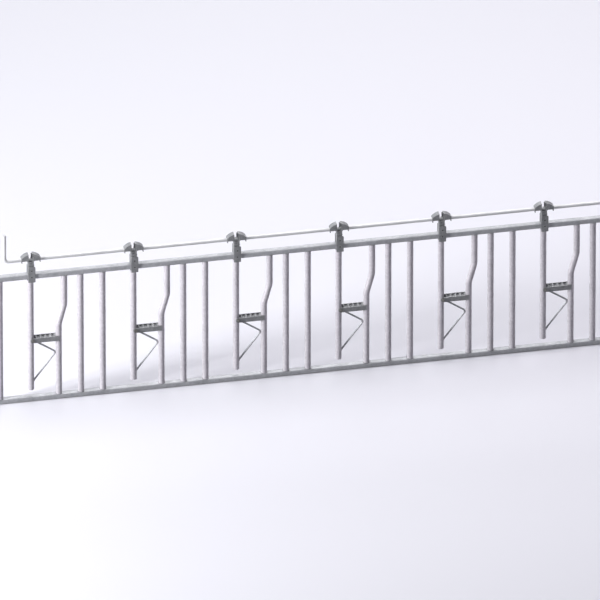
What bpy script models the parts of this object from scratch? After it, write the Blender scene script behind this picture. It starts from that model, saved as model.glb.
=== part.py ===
"""Self-locking cattle headlock panel with six places.

Metres, +Z up. +X runs along the panel, +Y points away from the lane where people stand.
The origin lies under the middle of the bottom rail, in the panel's middle plane.

Each place has a swing bar that turns on a pivot bolt about Y. A fork on the bar's top end
straddles the top rail and carries a strike pin. A latch head on the rail holds a drop plate,
the latch dog, beside that pin. The control rod runs through all the latch heads, and its
lifting fingers raise every dog while the hand lever stands upright.
"""

import math

import bmesh
import bpy
from mathutils import Matrix, Vector

# Panel
PLACES = 6
PLACE_PITCH = 0.700
RAIL_OVERHANG = 0.050
RAIL_DEPTH = 0.045
RAIL_HEIGHT = 0.035
RAIL_WALL = 0.003
RAIL_CORNER = 0.006
CLEAR_HEIGHT = 0.909

# Round tube of the posts and the swing bars
TUBE_DIAMETER = 0.0424
TUBE_WALL = 0.0032

# Widths across one place, from the left post to the right one
NECK_GAP = 0.168
BENT_POST_REACH = 0.190
BENT_POST_JOG = 0.039
INNER_POST_REACH = 0.340

# Heights of the bent post's two bends, and their bending radius
UPPER_BEND_DROP = 0.226
LOWER_BEND_DROP = 0.372
POST_BEND_RADIUS = 0.150

# Swing bar and its pivot
PIVOT_DROP = 0.4745
PIVOT_OFFSET = 0.0115
BAR_FOOT_GAP = 0.051
PIVOT_BOLT_DIAMETER = 0.012
PIVOT_BOLT_HEAD = 0.019
PIVOT_BOLT_HEAD_HEIGHT = 0.0075

# Pivot bracket
ARM_HEIGHT = 0.035
ARM_THICKNESS = 0.006
ARM_SIDE_CLEARANCE = 0.0004
ARM_PAST_POST_AXIS = 0.001
STRIP_THICKNESS = 0.003
STRIP_WAVE = 0.0045
STRIP_WAVE_LENGTH = 0.034
STRIP_START = 0.023
STRIP_INSET = 0.001

# V rod
V_ROD_DIAMETER = 0.012
V_ROD_BEND_RADIUS = 0.020
V_ROD_TOP_DROP = 0.011
V_ROD_CORNER_DROP = 0.113
V_ROD_FOOT_DROP = 0.316
V_ROD_STOP_GAP = 0.0004

# Fork
FORK_WIDTH = 0.049
FORK_OFFSET = 0.005
FORK_ABOVE_RAIL = 0.063
FORK_BELOW_RAIL = 0.022
FORK_THICKNESS = 0.0055
FORK_TOP_CORNER = 0.010
FORK_FOOT_CORNER = 0.005
FORK_RAIL_CLEARANCE = 0.0017
BRIDGE_THICKNESS = 0.006
BRIDGE_GAP = 0.004
STRIKE_PIN_HEIGHT = 0.031
STRIKE_PIN_DIAMETER = 0.012
PEG_DIAMETER = 0.0085
PEG_PROUD = 0.0007
STUD_DIAMETER = 0.020

# Control rod with its hand lever
ROD_HEIGHT = 0.108
ROD_DIAMETER = 0.025
ROD_WALL = 0.002
LEVER_SETBACK = 0.035
ROD_END_SETBACK = 0.107
ROD_BEND_RADIUS = 0.026
LEVER_LENGTH = 0.200
ROD_CAP_THICKNESS = 0.002
ROD_CAP_DEPTH = 0.014

# Latch head
HEAD_OFFSET = 0.002
HEAD_RADIUS = 0.086
HEAD_ARC_DROP = 0.039
HEAD_HALF_WIDTH = 0.065
WING_FOOT_DROP = 0.0035
RIM_THICKNESS = 0.006
EAR_WALL = 0.003
WEB_THICKNESS = 0.004
STEM_HALF_WIDTH = 0.0192
STEM_ABOVE_RAIL = 0.062
STEM_FILLET = 0.010
SLOT_WIDTH = 0.0336
SLOT_FOOT_DROP = 0.0085
SLOT_CORNER = 0.006
ROD_HOLE_CLEARANCE = 0.0005
UNDER_ROD_GAP = 0.001
PILLAR_THICKNESS = 0.0075
FOOT_LENGTH = 0.030
FOOT_THICKNESS = 0.005
GUIDE_THICKNESS = 0.002
SPACER_DIAMETER = 0.017
SPACER_BORE = 0.010

# Latch dog and lifting finger
DOG_TRAVEL = 0.030
DOG_THICKNESS = 0.006
DOG_WALL = 0.004
DOG_TOP_WALL = 0.006
DOG_REST_HEIGHT = 0.046
DOG_NOSE_REACH = 0.0085
DOG_NOSE_RISE = 0.020
DOG_NOSE_WIDTH = 0.024
CROSSBAR_DIAMETER = 0.006
FINGER_THICKNESS = 0.007
FINGER_WIDTH = 0.008
FINGER_CLEARANCE = 0.001
FINGER_SIDE_GAP = 0.0014

# Fits
WELD_GAP = 0.0003
RUNNING_GAP = 0.0004
LAP = 0.001

# Facets round each kind of piece
TUBE_SIDES = 16
ROD_SIDES = 12
PIN_SIDES = 12
BAR_SIDES = 8
ARC_STEPS = 7

# Heights worked out from the sizes above
TUBE_RADIUS = TUBE_DIAMETER / 2
ROD_RADIUS = ROD_DIAMETER / 2
TOP_RAIL_UNDERSIDE = RAIL_HEIGHT + CLEAR_HEIGHT
TOP_RAIL_TOP = TOP_RAIL_UNDERSIDE + RAIL_HEIGHT
PIVOT_Z = TOP_RAIL_UNDERSIDE - PIVOT_DROP
BRIDGE_TOP = TOP_RAIL_UNDERSIDE - BRIDGE_GAP
BAR_TOP = BRIDGE_TOP - BRIDGE_THICKNESS - WELD_GAP
BAR_FOOT = RAIL_HEIGHT + BAR_FOOT_GAP
STRIKE_PIN_Z = TOP_RAIL_TOP + STRIKE_PIN_HEIGHT
ROD_Z = TOP_RAIL_TOP + ROD_HEIGHT
HEAD_ARC_Z = ROD_Z - HEAD_ARC_DROP
WING_FOOT_Z = ROD_Z - WING_FOOT_DROP
EAR_FOOT_Z = ROD_Z - ROD_RADIUS - ROD_HOLE_CLEARANCE - EAR_WALL
STEM_ARC_Z = TOP_RAIL_TOP + STEM_ABOVE_RAIL + STEM_HALF_WIDTH
UNDER_ROD_Z = ROD_Z - ROD_RADIUS - UNDER_ROD_GAP
SPACER_Z = UNDER_ROD_Z - SPACER_DIAMETER / 2

# Places along the panel
PANEL_SPAN = PLACES * PLACE_PITCH
FIRST_POST_X = -PANEL_SPAN / 2
RAIL_HALF_LENGTH = PANEL_SPAN / 2 + RAIL_OVERHANG
LEVER_X = FIRST_POST_X + LEVER_SETBACK
ROD_END_X = -FIRST_POST_X - ROD_END_SETBACK
BAR_FROM_POST = TUBE_DIAMETER + NECK_GAP
BAR_X = [FIRST_POST_X + BAR_FROM_POST + place * PLACE_PITCH for place in range(PLACES)]

# Depths across the panel, each from the middle plane
ARM_INNER = TUBE_RADIUS + ARM_SIDE_CLEARANCE
ARM_OUTER = ARM_INNER + ARM_THICKNESS
DOG_HALF_DEPTH = ROD_RADIUS + RUNNING_GAP + DOG_WALL
WEB_INNER = DOG_HALF_DEPTH + RUNNING_GAP
WEB_OUTER = WEB_INNER + WEB_THICKNESS
FORK_INNER = max(
    RAIL_DEPTH / 2 + FORK_RAIL_CLEARANCE,
    TUBE_RADIUS + WELD_GAP,
    WEB_OUTER + FORK_RAIL_CLEARANCE,
)
FORK_OUTER = FORK_INNER + FORK_THICKNESS

# Stations across the latch, each from the swing bar's axis
STRIKE_PIN_X = FORK_OFFSET
DOG_LEFT = STRIKE_PIN_X + STRIKE_PIN_DIAMETER / 2 + RUNNING_GAP
DOG_RIGHT = DOG_LEFT + DOG_THICKNESS
ROD_PASS = ROD_RADIUS + RUNNING_GAP
CROSSBAR_Z = ROD_Z + ROD_RADIUS + RUNNING_GAP + CROSSBAR_DIAMETER / 2 + DOG_TRAVEL
FINGER_LEFT = DOG_LEFT - FINGER_SIDE_GAP - FINGER_THICKNESS
FINGER_REACH = CROSSBAR_Z - CROSSBAR_DIAMETER / 2 - FINGER_CLEARANCE - ROD_Z

STEEL_TONES = {
    "rail_zinc": ("#9B9DA1", 0.42),
    "tube_zinc": ("#B4B4B8", 0.38),
    "plate_zinc": ("#929397", 0.45),
    "rod_zinc": ("#C2C3C6", 0.34),
    "bolt_zinc": ("#A8A79F", 0.36),
}
CAP_COLOUR = "#A9AAAD"


def clear_scene():
    """Empty the file, so that the panel is all it holds."""
    for item in list(bpy.data.objects):
        bpy.data.objects.remove(item, do_unlink=True)


# Colour and material

def linear(hex_colour):
    """Linear red, green, blue and alpha of an sRGB colour such as #9B9DA1."""
    values = []
    for start in (1, 3, 5):
        share = int(hex_colour[start:start + 2], 16) / 255
        values.append(share / 12.92 if share <= 0.04045 else ((share + 0.055) / 1.055) ** 2.4)
    return (*values, 1.0)


def principled(name, hex_colour, roughness, metallic):
    """A plain material of one colour."""
    material = bpy.data.materials.new(name)
    material.use_nodes = True
    shader = material.node_tree.nodes["Principled BSDF"]
    shader.inputs["Base Color"].default_value = linear(hex_colour)
    shader.inputs["Roughness"].default_value = roughness
    shader.inputs["Metallic"].default_value = metallic
    return material


def steel(name, tone):
    """Hot-dip galvanised steel in one of the panel's tones."""
    hex_colour, roughness = STEEL_TONES[tone]
    return principled(name, hex_colour, roughness, 0.9)


# Outlines, each a list of (u, v) points running counter-clockwise

def circle(radius, sides, centre=(0.0, 0.0)):
    """Corners of a regular polygon inside a circle."""
    turns = [2 * math.pi * side / sides for side in range(sides)]
    return [(centre[0] + radius * math.cos(t), centre[1] + radius * math.sin(t)) for t in turns]


def arc(centre, radius, start, end, steps):
    """Points on an arc, with both angles in degrees."""
    turns = [math.radians(start + (end - start) * step / steps) for step in range(steps + 1)]
    return [(centre[0] + radius * math.cos(t), centre[1] + radius * math.sin(t)) for t in turns]


def hexagon(across_flats):
    """Hexagon with a point at each corner and at the middle of each flat."""
    points = []
    for side in range(12):
        radius = across_flats / 2 if side % 2 else across_flats / math.sqrt(3)
        turn = math.pi * side / 6
        points.append((radius * math.cos(turn), radius * math.sin(turn)))
    return points


def rounded_box(width, height, corner):
    """Rectangle about the origin with round corners."""
    points = []
    signs = ((1, 1, 0), (-1, 1, 90), (-1, -1, 180), (1, -1, 270))
    for sign_u, sign_v, turn in signs:
        centre = (sign_u * (width / 2 - corner), sign_v * (height / 2 - corner))
        points += arc(centre, corner, turn, turn + 90, 2)
    return points


def block(low_u, high_u, low_v, high_v):
    """Plain rectangle."""
    return [(low_u, low_v), (high_u, low_v), (high_u, high_v), (low_u, high_v)]


# Solids

def on_axis(axis, along, point):
    """A point of an outline, set at one distance along X, Y or Z."""
    u, v = point
    return {"X": (along, u, v), "Y": (u, along, v), "Z": (u, v, along)}[axis]


def finish(name, shape):
    """Mesh from a bmesh, with its faces outwards and its round faces smooth."""
    bmesh.ops.recalc_face_normals(shape, faces=shape.faces)
    mesh = bpy.data.meshes.new(name)
    shape.to_mesh(mesh)
    shape.free()
    mesh.shade_smooth()
    mesh.set_sharp_from_angle(angle=math.radians(40))
    return mesh


def loft(name, rings, closed=False):
    """Solid through a run of rings of 3D points, capped at its ends or closed on itself."""
    shape = bmesh.new()
    loops = [[shape.verts.new(point) for point in ring] for ring in rings]
    pairs = list(zip(loops, loops[1:]))
    if closed:
        pairs.append((loops[-1], loops[0]))
    else:
        shape.faces.new(list(reversed(loops[0])))
        shape.faces.new(loops[-1])
    for here, there in pairs:
        for side in range(len(here)):
            after = (side + 1) % len(here)
            shape.faces.new((here[side], here[after], there[after], there[side]))
    return finish(name, shape)


def stepped(name, axis, sections):
    """Solid through (distance along the axis, outline) pairs."""
    return loft(name, [[on_axis(axis, along, p) for p in outline] for along, outline in sections])


def hollow(name, axis, low, high, outer, inner):
    """Tube with open ends."""
    sections = ((low, outer), (high, outer), (high, inner), (low, inner))
    rings = [[on_axis(axis, along, p) for p in outline] for along, outline in sections]
    return loft(name, rings, closed=True)


def plate(name, axis, low, high, outline, holes=()):
    """Flat plate of one outline, with holes right through it."""
    shape = bmesh.new()
    for loop in (outline, *holes):
        corners = [shape.verts.new(on_axis(axis, low, point)) for point in loop]
        for here, after in zip(corners, corners[1:] + corners[:1]):
            shape.edges.new((here, after))
    bmesh.ops.triangle_fill(shape, edges=shape.edges[:], use_beauty=True)
    raised = bmesh.ops.extrude_face_region(shape, geom=shape.faces[:])
    moved = [item for item in raised["geom"] if isinstance(item, bmesh.types.BMVert)]
    shift = on_axis(axis, high - low, (0.0, 0.0))
    bmesh.ops.translate(shape, verts=moved, vec=shift)
    return finish(name, shape)


def combine(mesh, others, operation):
    """Join other solids to a solid, or cut them out of it, one after another."""
    body = bpy.data.objects.new("work", mesh)
    bpy.context.scene.collection.objects.link(body)
    tools = []
    for other in others:
        tool = bpy.data.objects.new("tool", other)
        bpy.context.scene.collection.objects.link(tool)
        modifier = body.modifiers.new("step", "BOOLEAN")
        modifier.solver = "EXACT"
        modifier.operation = operation
        modifier.object = tool
        tools.append(tool)
    evaluated = body.evaluated_get(bpy.context.evaluated_depsgraph_get())
    result = bpy.data.meshes.new_from_object(evaluated)
    for item in (body, *tools):
        bpy.data.objects.remove(item, do_unlink=True)
    result.name = mesh.name
    result.materials.clear()
    result.shade_smooth()
    result.set_sharp_from_angle(angle=math.radians(40))
    return result


def shifted(mesh, offset):
    """Copy of a mesh, moved."""
    copy = mesh.copy()
    copy.transform(Matrix.Translation(offset))
    return copy


def mirrored(mesh):
    """Copy of a mesh on the other side of the panel's middle plane."""
    copy = mesh.copy()
    copy.transform(Matrix.Scale(-1, 4, (0, 1, 0)))
    copy.flip_normals()
    return copy


# Bent tube and bar in the panel's plane

def bent_path(corners, radius, steps):
    """Stations (point, direction) along a polyline whose inner corners are rounded."""
    stations = [(corners[0], (corners[1] - corners[0]).normalized())]
    for before, corner, after in zip(corners, corners[1:], corners[2:]):
        arriving = (corner - before).normalized()
        leaving = (after - corner).normalized()
        turn = arriving.angle(leaving)
        axis = arriving.cross(leaving).normalized()
        start = corner - arriving * radius * math.tan(turn / 2)
        centre = start + axis.cross(arriving) * radius
        for step in range(steps + 1):
            swing = Matrix.Rotation(turn * step / steps, 3, axis)
            stations.append((centre + swing @ (start - centre), swing @ arriving))
    stations.append((corners[-1], (corners[-1] - corners[-2]).normalized()))
    return stations


def swept_ring(station, outline):
    """Outline set square to a path's direction."""
    point, direction = station
    side = direction.cross(Vector((0, 1, 0)))
    return [point + side * u + Vector((0, v, 0)) for u, v in outline]


def bent_tube(name, stations, diameter, wall, sides):
    """Round tube along a path, open at both ends."""
    outer = circle(diameter / 2, sides)
    inner = circle(diameter / 2 - wall, sides)
    rings = [swept_ring(station, outer) for station in stations]
    rings += [swept_ring(station, inner) for station in reversed(stations)]
    return loft(name, rings, closed=True)


# Fixed panel

def rail_mesh():
    """Rectangular rail tube lying along X, with its underside at height 0."""
    outer = rounded_box(RAIL_DEPTH, RAIL_HEIGHT, RAIL_CORNER)
    inner = rounded_box(
        RAIL_DEPTH - 2 * RAIL_WALL, RAIL_HEIGHT - 2 * RAIL_WALL, RAIL_CORNER - RAIL_WALL)
    mesh = hollow("rail", "X", -RAIL_HALF_LENGTH, RAIL_HALF_LENGTH, outer, inner)
    return shifted(mesh, (0, 0, RAIL_HEIGHT / 2))


def post_mesh():
    """Straight post between the rails."""
    outer = circle(TUBE_RADIUS, TUBE_SIDES)
    inner = circle(TUBE_RADIUS - TUBE_WALL, TUBE_SIDES)
    return hollow(
        "post", "Z", RAIL_HEIGHT + WELD_GAP, TOP_RAIL_UNDERSIDE - WELD_GAP, outer, inner)


def bent_post_mesh():
    """Post that steps sideways above the pivot bracket, from the swing bar's axis."""
    upper_x = BENT_POST_REACH + BENT_POST_JOG
    corners = [
        Vector((upper_x, 0, TOP_RAIL_UNDERSIDE - WELD_GAP)),
        Vector((upper_x, 0, TOP_RAIL_UNDERSIDE - UPPER_BEND_DROP)),
        Vector((BENT_POST_REACH, 0, TOP_RAIL_UNDERSIDE - LOWER_BEND_DROP)),
        Vector((BENT_POST_REACH, 0, RAIL_HEIGHT + WELD_GAP)),
    ]
    stations = bent_path(corners, POST_BEND_RADIUS, 2)
    return bent_tube("bent_post", stations, TUBE_DIAMETER, TUBE_WALL, TUBE_SIDES)


def pivot_bracket_mesh():
    """Two arm plates, joined along their top by a corrugated strip."""
    half = ARM_HEIGHT / 2
    pivot = (PIVOT_OFFSET, PIVOT_Z)
    outline = arc(pivot, half, 90, 270, ARC_STEPS)
    square_end = BENT_POST_REACH + ARM_PAST_POST_AXIS
    outline += [(square_end, PIVOT_Z - half), (square_end, PIVOT_Z + half)]
    hole = circle(PIVOT_BOLT_DIAMETER / 2 + RUNNING_GAP, PIN_SIDES, pivot)
    arm = plate("pivot_bracket", "Y", ARM_INNER, ARM_OUTER, outline, [hole])
    return combine(arm, [mirrored(arm), corrugated_strip_mesh()], "UNION")


def corrugated_strip_mesh():
    """Wavy strip between the bracket's plates, just under their top edge."""
    start = PIVOT_OFFSET + STRIP_START
    end = BENT_POST_REACH - TUBE_RADIUS - WELD_GAP
    middle_z = PIVOT_Z + ARM_HEIGHT / 2 - STRIP_INSET - STRIP_WAVE
    steps = 4 * max(1, round((end - start) / STRIP_WAVE_LENGTH))
    upper = []
    for step in range(steps + 1):
        along = start + (end - start) * step / steps
        upper.append((along, middle_z + STRIP_WAVE * math.cos(math.pi / 2 * step)))
    lower = [(along, height - STRIP_THICKNESS) for along, height in reversed(upper)]
    half_width = ARM_INNER + LAP
    return plate("strip", "Y", -half_width, half_width, upper + lower)


def pivot_bolt_mesh():
    """Pivot bolt, head in front and nut behind, about its own axis."""
    face = ARM_OUTER + WELD_GAP
    head = hexagon(PIVOT_BOLT_HEAD)
    shank = circle(PIVOT_BOLT_DIAMETER / 2, PIN_SIDES)
    return stepped("pivot_bolt", "Y", (
        (-face - PIVOT_BOLT_HEAD_HEIGHT, head),
        (-face, head),
        (-face, shank),
        (face, shank),
        (face, head),
        (face + PIVOT_BOLT_HEAD_HEIGHT, head),
    ))


# Latch head

def head_outline():
    """Front view of a latch head: a slotted round hood with an ear at each tip, and a stem."""
    half_slot = SLOT_WIDTH / 2
    slot_corner = (half_slot - SLOT_CORNER, ROD_Z - SLOT_FOOT_DROP + SLOT_CORNER)
    slot_turn = math.degrees(math.acos(half_slot / HEAD_RADIUS))
    tip_turn = math.degrees(math.acos(HEAD_HALF_WIDTH / HEAD_RADIUS))
    ear_inside = HEAD_HALF_WIDTH - RIM_THICKNESS
    fillet = (STEM_HALF_WIDTH + STEM_FILLET, WING_FOOT_Z - STEM_FILLET)
    half = arc(slot_corner, SLOT_CORNER, 270, 360, 2)
    half += arc((0.0, HEAD_ARC_Z), HEAD_RADIUS, slot_turn, tip_turn, ARC_STEPS)
    half += [(HEAD_HALF_WIDTH, EAR_FOOT_Z), (ear_inside, EAR_FOOT_Z), (ear_inside, WING_FOOT_Z)]
    half += arc(fillet, STEM_FILLET, 90, 180, 2)
    half += arc((0.0, STEM_ARC_Z), STEM_HALF_WIDTH, 0, -90, 4)
    outline = [(HEAD_OFFSET - across, height) for across, height in half]
    outline += [(HEAD_OFFSET + across, height) for across, height in reversed(half[:-1])]
    return outline


def head_cavity_mesh():
    """Space between the webs and the ears, under the rim."""
    inner_radius = HEAD_RADIUS - RIM_THICKNESS
    reach = HEAD_HALF_WIDTH - RIM_THICKNESS
    turn = math.degrees(math.acos(reach / inner_radius))
    outline = arc((HEAD_OFFSET, HEAD_ARC_Z), inner_radius, turn, 180 - turn, 2 * ARC_STEPS)
    outline += [(HEAD_OFFSET - reach, TOP_RAIL_TOP), (HEAD_OFFSET + reach, TOP_RAIL_TOP)]
    return plate("cavity", "Y", -WEB_INNER, WEB_INNER, outline)


def pillar_mesh():
    """Upright that carries the webs, with a foot on the rail."""
    left = HEAD_OFFSET - STEM_HALF_WIDTH + LAP / 2
    foot = TOP_RAIL_TOP + WELD_GAP
    half = WEB_INNER + LAP
    outline = [
        (left, foot),
        (left + FOOT_LENGTH, foot),
        (left + FOOT_LENGTH, foot + FOOT_THICKNESS),
        (left + PILLAR_THICKNESS, foot + FOOT_THICKNESS),
        (left + PILLAR_THICKNESS, UNDER_ROD_Z),
        (left, UNDER_ROD_Z),
    ]
    return plate("pillar", "Y", -half, half, outline)


def dog_guide_mesh():
    """Bar across the stem, which the latch dog leans on."""
    left = DOG_RIGHT + RUNNING_GAP
    outline = block(left, left + GUIDE_THICKNESS, SPACER_Z, UNDER_ROD_Z)
    return plate("guide", "Y", -WEB_INNER - LAP, WEB_INNER + LAP, outline)


def latch_head_mesh():
    """Latch head: two webs under a rim with two ears, a pillar, a guide and a spacer tube."""
    body = plate("latch_head", "Y", -WEB_OUTER, WEB_OUTER, head_outline())
    body = combine(body, [head_cavity_mesh()], "DIFFERENCE")
    barrel = circle(SPACER_DIAMETER / 2, PIN_SIDES, (HEAD_OFFSET, SPACER_Z))
    spacer = plate("spacer", "Y", -WEB_INNER - LAP, WEB_INNER + LAP, barrel)
    body = combine(body, [pillar_mesh(), dog_guide_mesh(), spacer], "UNION")
    bore_ring = circle(SPACER_BORE / 2, PIN_SIDES, (HEAD_OFFSET, SPACER_Z))
    bore = plate("bore", "Y", -WEB_OUTER - LAP, WEB_OUTER + LAP, bore_ring)
    past_ears = HEAD_HALF_WIDTH + LAP
    rod_ring = circle(ROD_RADIUS + ROD_HOLE_CLEARANCE, ROD_SIDES, (0.0, ROD_Z))
    rod_hole = plate("rod_hole", "X", HEAD_OFFSET - past_ears, HEAD_OFFSET + past_ears, rod_ring)
    return combine(body, [bore, rod_hole], "DIFFERENCE")


# Swinging yoke

def v_rod_corner(upper_end, lower_end):
    """Corner of the V rod, set so that its round bend stops just short of the bent post."""
    reach = BENT_POST_REACH - TUBE_RADIUS - V_ROD_STOP_GAP - V_ROD_DIAMETER / 2
    corner = Vector((reach, 0, PIVOT_Z - V_ROD_CORNER_DROP))
    for _ in range(4):
        stations = bent_path([upper_end, corner, lower_end], V_ROD_BEND_RADIUS, 16)
        corner.x += reach - max(point.x for point, _ in stations)
    return corner


def v_rod_mesh():
    """Bent round bar from the swing bar out to the bent post and back."""
    seat = TUBE_RADIUS - LAP
    upper_end = Vector((seat, 0, PIVOT_Z - V_ROD_TOP_DROP))
    lower_end = Vector((seat, 0, PIVOT_Z - V_ROD_FOOT_DROP))
    corner = v_rod_corner(upper_end, lower_end)
    stations = bent_path([upper_end, corner, lower_end], V_ROD_BEND_RADIUS, 4)
    outline = circle(V_ROD_DIAMETER / 2, BAR_SIDES)
    rings = [swept_ring(station, outline) for station in stations]
    for ring, direction in ((rings[0], stations[0][1]), (rings[-1], stations[-1][1])):
        for index, point in enumerate(ring):
            bar_surface = math.sqrt(seat ** 2 - point.y ** 2)
            ring[index] = point + direction * ((bar_surface - point.x) / direction.x)
    return loft("v_rod", rings)


def swing_bar_mesh():
    """Swing bar with its cross hole for the pivot bolt and the V rod welded to its side."""
    outer = circle(TUBE_RADIUS, TUBE_SIDES)
    inner = circle(TUBE_RADIUS - TUBE_WALL, TUBE_SIDES)
    bar = hollow("swing_bar", "Z", BAR_FOOT, BAR_TOP, outer, inner)
    hole = circle(PIVOT_BOLT_DIAMETER / 2 + RUNNING_GAP, PIN_SIDES, (PIVOT_OFFSET, PIVOT_Z))
    cutter = plate("hole", "Y", -TUBE_RADIUS - LAP, TUBE_RADIUS + LAP, hole)
    bar = combine(bar, [cutter], "DIFFERENCE")
    return combine(bar, [v_rod_mesh()], "UNION")


def fork_pin_meshes():
    """Strike pin between the fork's plates, and the two studs that rub on the rail."""
    peg = circle(PEG_DIAMETER / 2, PIN_SIDES)
    pin = circle(STRIKE_PIN_DIAMETER / 2, PIN_SIDES)
    stud = circle(STUD_DIAMETER / 2, PIN_SIDES)
    shoulder = FORK_INNER + LAP
    tip = FORK_OUTER + PEG_PROUD
    strike_pin = stepped("strike_pin", "Y", (
        (-tip, peg),
        (-shoulder, peg),
        (-shoulder, pin),
        (shoulder, pin),
        (shoulder, peg),
        (tip, peg),
    ))
    stud = stepped("stud", "Y", (
        (RAIL_DEPTH / 2 + WELD_GAP, stud),
        (shoulder, stud),
        (shoulder, peg),
        (tip, peg),
    ))
    strike_pin = shifted(strike_pin, (FORK_OFFSET, 0, STRIKE_PIN_Z))
    stud = shifted(stud, (FORK_OFFSET, 0, TOP_RAIL_UNDERSIDE + RAIL_HEIGHT / 2))
    return [strike_pin, stud, mirrored(stud)]


def fork_mesh():
    """Stirrup that straddles the top rail: two plates, a bridge under them and the pins."""
    half = FORK_WIDTH / 2
    left, right = FORK_OFFSET - half, FORK_OFFSET + half
    top = TOP_RAIL_TOP + FORK_ABOVE_RAIL
    foot = TOP_RAIL_UNDERSIDE - FORK_BELOW_RAIL
    top_inset, foot_inset = FORK_TOP_CORNER, FORK_FOOT_CORNER
    outline = arc((right - foot_inset, foot + foot_inset), foot_inset, 270, 360, 1)
    outline += arc((right - top_inset, top - top_inset), top_inset, 0, 90, 2)
    outline += arc((left + top_inset, top - top_inset), top_inset, 90, 180, 2)
    outline += arc((left + foot_inset, foot + foot_inset), foot_inset, 180, 270, 1)
    side = plate("fork", "Y", FORK_INNER, FORK_OUTER, outline)
    bridge_outline = block(left + LAP, right - LAP, BRIDGE_TOP - BRIDGE_THICKNESS, BRIDGE_TOP)
    bridge = plate("bridge", "Y", -FORK_INNER - LAP, FORK_INNER + LAP, bridge_outline)
    return combine(side, [mirrored(side), bridge, *fork_pin_meshes()], "UNION")


# Locking gear

def latch_dog_mesh():
    """Drop plate round the control rod, with a crossbar over the finger and a ramped nose."""
    foot = TOP_RAIL_TOP + DOG_REST_HEIGHT
    slot_foot = ROD_Z - ROD_PASS
    slot_top = ROD_Z + ROD_PASS + DOG_TRAVEL
    top = slot_top + DOG_TOP_WALL
    outline = block(-DOG_HALF_DEPTH, DOG_HALF_DEPTH, foot, top)
    slot = block(-ROD_PASS, ROD_PASS, slot_foot, slot_top)
    body = plate("latch_dog", "X", DOG_LEFT, DOG_RIGHT, outline, [slot])

    crossbar_ring = circle(CROSSBAR_DIAMETER / 2, BAR_SIDES, (0.0, CROSSBAR_Z))
    crossbar_right = DOG_LEFT + DOG_THICKNESS / 2
    crossbar = plate("crossbar", "X", FINGER_LEFT - LAP, crossbar_right, crossbar_ring)

    nose_right = DOG_RIGHT + DOG_NOSE_REACH
    nose_top = foot + DOG_NOSE_RISE
    nose_outline = [
        (DOG_LEFT + LAP, foot + LAP / 2),
        (nose_right, nose_top),
        (DOG_RIGHT - LAP, nose_top + DOG_NOSE_REACH),
        (DOG_LEFT + LAP, nose_top),
    ]
    nose = plate("nose", "Y", -DOG_NOSE_WIDTH / 2, DOG_NOSE_WIDTH / 2, nose_outline)
    return combine(body, [crossbar, nose], "UNION")


def lifting_finger_mesh():
    """Finger that stands on the control rod and carries a latch dog, from the rod's axis."""
    half = FINGER_WIDTH / 2
    seat = ROD_RADIUS - LAP
    spread = math.degrees(math.asin(half / seat))
    outline = arc((0.0, 0.0), seat, 90 + spread, 90 - spread, 2)
    outline += arc((0.0, FINGER_REACH - half), half, 0, 180, 6)
    return plate("finger", "X", FINGER_LEFT, FINGER_LEFT + FINGER_THICKNESS, outline)


def control_rod_mesh():
    """Control rod bent up into the hand lever, with its fingers, from the rod's axis."""
    corners = [
        Vector((ROD_END_X, 0, 0)),
        Vector((LEVER_X, 0, 0)),
        Vector((LEVER_X, 0, LEVER_LENGTH)),
    ]
    stations = bent_path(corners, ROD_BEND_RADIUS, 5)
    rod = bent_tube("control_rod", stations, ROD_DIAMETER, ROD_WALL, ROD_SIDES)
    finger = lifting_finger_mesh()
    return combine(rod, [shifted(finger, (bar_x, 0, 0)) for bar_x in BAR_X], "UNION")


def rod_cap_mesh(axis):
    """Cap for an open end of the control rod: a disc and a spigot, outwards along the axis."""
    disc = circle(ROD_RADIUS, ROD_SIDES)
    spigot = circle(ROD_RADIUS - ROD_WALL - WELD_GAP, ROD_SIDES)
    return stepped("rod_cap", axis, (
        (WELD_GAP + ROD_CAP_THICKNESS, disc),
        (WELD_GAP, disc),
        (WELD_GAP, spigot),
        (WELD_GAP - ROD_CAP_DEPTH, spigot),
    ))


# Assembly

def add(name, mesh, material, origin=(0.0, 0.0, 0.0), parent=None):
    """Object with its own copy of a mesh, and its parent where it moves."""
    item = bpy.data.objects.new(name, mesh.copy())
    bpy.context.scene.collection.objects.link(item)
    item.location = origin
    item.parent = parent
    item.data.materials.clear()
    item.data.materials.append(material)
    return item


def axis_empty(name, origin):
    """Empty on a joint's axis, which carries the pieces that move with it."""
    empty = bpy.data.objects.new(name, None)
    bpy.context.scene.collection.objects.link(empty)
    empty.location = origin
    empty.empty_display_size = 0.05
    return empty


def add_at_each_place(stem, mesh, tone, origin=(0.0, 0.0, 0.0), parents=None):
    """One piece of each place, numbered from the left, with its origin set in the mesh."""
    local = shifted(mesh, [-value for value in origin])
    for place, bar_x in enumerate(BAR_X):
        name = f"{stem}_{place + 1}"
        material = steel(name + "_zinc", tone)
        if parents:
            add(name, local, material, parent=parents[place])
        else:
            add(name, local, material, (bar_x + origin[0], origin[1], origin[2]))


def add_rails_and_posts():
    """Rails and straight posts of the welded frame."""
    rail = rail_mesh()
    add("bottom_rail", rail, steel("bottom_rail_zinc", "rail_zinc"))
    add("top_rail", rail, steel("top_rail_zinc", "rail_zinc"), (0, 0, TOP_RAIL_UNDERSIDE))
    post = post_mesh()
    add("left_end_post", post, steel("left_end_post_zinc", "tube_zinc"), (FIRST_POST_X, 0, 0))
    add("right_end_post", post, steel("right_end_post_zinc", "tube_zinc"), (-FIRST_POST_X, 0, 0))
    inner = [bar_x + INNER_POST_REACH for bar_x in BAR_X]
    inner += [FIRST_POST_X + place * PLACE_PITCH for place in range(1, PLACES)]
    for number, x in enumerate(sorted(inner), 1):
        name = f"inner_post_{number}"
        add(name, post, steel(name + "_zinc", "tube_zinc"), (x, 0, 0))


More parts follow.
